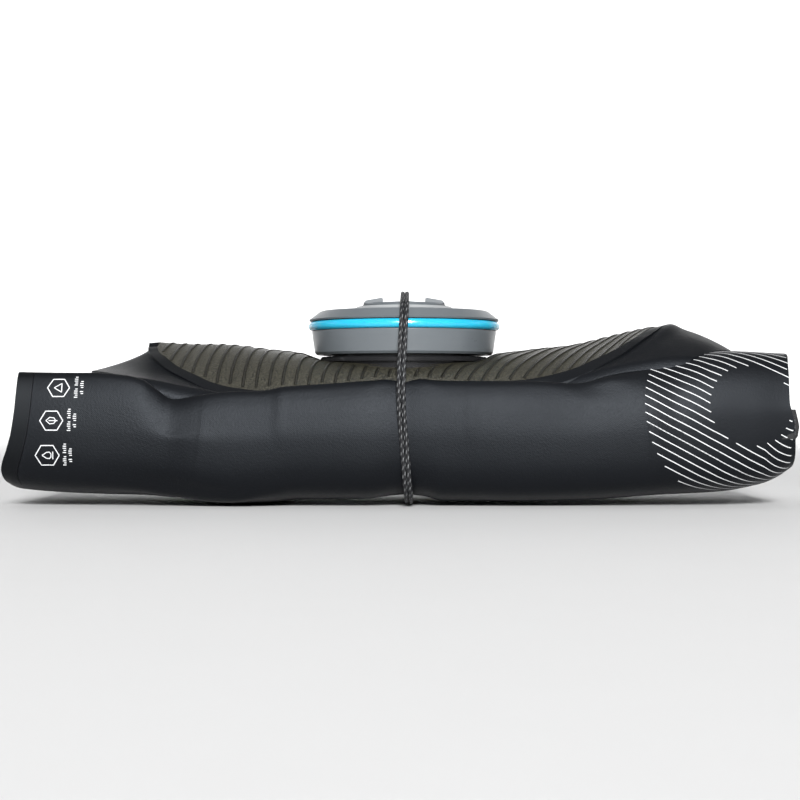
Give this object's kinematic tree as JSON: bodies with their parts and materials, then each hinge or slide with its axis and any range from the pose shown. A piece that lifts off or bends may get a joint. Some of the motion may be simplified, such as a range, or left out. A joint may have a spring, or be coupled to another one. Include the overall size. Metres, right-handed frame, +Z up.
{
  "type": "hydration bladder",
  "caption": "Collapsible water bag with a wide-mouth screw lid, rolled up and held by a doubled elastic cord round roll and lid.",
  "frame": {"origin": "centre of the bounding box on the surface that the roll rests on", "axes": "+X along the roll, -Y the printed front, +Z up, lid on top"},
  "size_m": [0.2979, 0.0917, 0.0824],
  "materials": {
    "dark_fabric": "satin coated",
    "olive_fabric": "satin, ribbed film",
    "weld_edge": "smooth welded",
    "neck_black": "gloss",
    "gasket": "matte",
    "lid_grey": "satin",
    "port_grey": "satin",
    "ring_blue": "gloss",
    "disc_silver": "satin",
    "webbing": "woven",
    "thread": "twisted thread",
    "rivet_steel": "brushed",
    "elastic": "braided sleeve"
  },
  "bodies": {
    "bag": {"front_panel": "dark_fabric", "left_shoulder": "dark_fabric", "right_shoulder": "dark_fabric", "back_panel": "dark_fabric", "mouth_panel": "olive_fabric", "top_weld": "weld_edge", "left_side_weld": "weld_edge", "right_side_weld": "weld_edge", "bottom_weld": "weld_edge", "mouth_ring": "neck_black", "lanyard_tab": "webbing", "tab_stitching": "thread", "cord_anchor": "webbing", "anchor_rivet": "rivet_steel", "bungee_cord": "elastic", "cord_knots": "elastic"},
    "seal": {"lid_gasket": "gasket"},
    "lid": {"lid_shell": "lid_grey", "lid_cover": "lid_grey", "grip_ring": "ring_blue", "port_seat": "port_grey"},
    "plug": {"port_plug": "lid_grey", "plug_disc": "disc_silver", "plug_oring": "gasket"}
  },
  "joints": [
    {"name": "lid_lift", "type": "slide", "parent": "bag", "child": "seal", "axis": [0, 0, 1], "range_m": [0, 0.00905], "deforming": ["bungee_cord"]},
    {"name": "lid_turn", "type": "hinge", "parent": "seal", "child": "lid", "pos_m": [0.0016, 0, 0.07], "axis": [0, 0, 1], "range_deg": [0, 540]},
    {"name": "plug_turn", "type": "hinge", "parent": "lid", "child": "plug", "pos_m": [0.0016, 0, 0.077], "axis": [0, 0, 1], "range_deg": [0, 90]}
  ],
  "couplings": [
    {"joint": "lid_lift", "follows": "lid_turn", "m_per_rad": 0.00095493}
  ]
}
